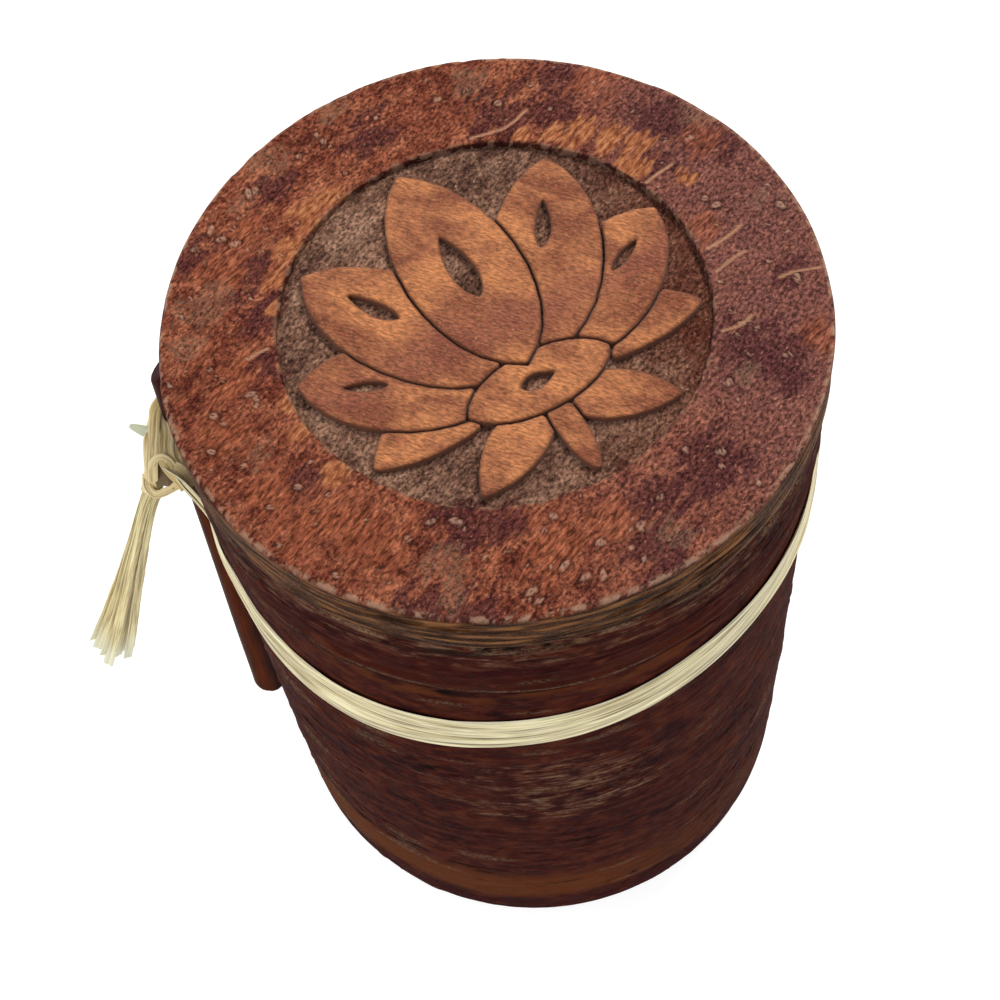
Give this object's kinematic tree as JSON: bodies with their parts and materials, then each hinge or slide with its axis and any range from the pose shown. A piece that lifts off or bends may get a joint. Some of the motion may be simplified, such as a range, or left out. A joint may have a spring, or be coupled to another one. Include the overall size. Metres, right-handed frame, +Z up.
{
  "type": "bark container",
  "caption": "Round bark box with a lift-off lid, a fretsawn lotus in the lid's recess, and a raffia tie that holds a narrow bark scoop.",
  "frame": {"origin": "middle of the flat underside, where the box rests", "axes": "+Z up along the box's axis, front towards -Y, scoop and knot on the -X side"},
  "size_m": [0.1134, 0.0847, 0.116],
  "materials": {
    "bark": "matte",
    "bark_face": "matte",
    "bark_ground": "matte",
    "bark_scraped": "matte",
    "bark_inner": "matte",
    "bark_smooth": "satin",
    "raffia": "satin"
  },
  "bodies": {
    "container": {"body_sleeve": "bark", "base_disc": "bark_inner", "inner_liner": "bark_inner", "raffia_winding": "raffia", "raffia_knot": "raffia", "raffia_sprig": "raffia", "raffia_tail_1": "raffia", "raffia_tail_2": "raffia", "raffia_tail_3": "raffia", "raffia_tail_4": "raffia", "raffia_tail_5": "raffia", "raffia_tail_6": "raffia", "raffia_tail_7": "raffia", "raffia_tail_8": "raffia"},
    "lid": {"lid_ring": "bark", "lid_ground_disc": "bark_ground", "lid_field_ring": "bark_face", "lotus_centre_petal": "bark_scraped", "lotus_seat": "bark_scraped", "lotus_stem": "bark_scraped", "lotus_inner_petal_right": "bark_scraped", "lotus_inner_petal_left": "bark_scraped", "lotus_outer_petal_right": "bark_scraped", "lotus_outer_petal_left": "bark_scraped", "lotus_low_petal_right": "bark_scraped", "lotus_low_petal_left": "bark_scraped", "lotus_foot_leaf_right": "bark_scraped", "lotus_foot_leaf_left": "bark_scraped"},
    "scoop": {"bark_scoop": "bark_smooth"}
  },
  "joints": [
    {"name": "lid_lift", "type": "slide", "parent": "container", "child": "lid", "axis": [0, 0, 1], "range_m": [0, 0.115]},
    {"name": "scoop_draw", "type": "slide", "parent": "container", "child": "scoop", "axis": [0.0122, 0.1125, 0.9936], "range_m": [0, 0.09]}
  ]
}
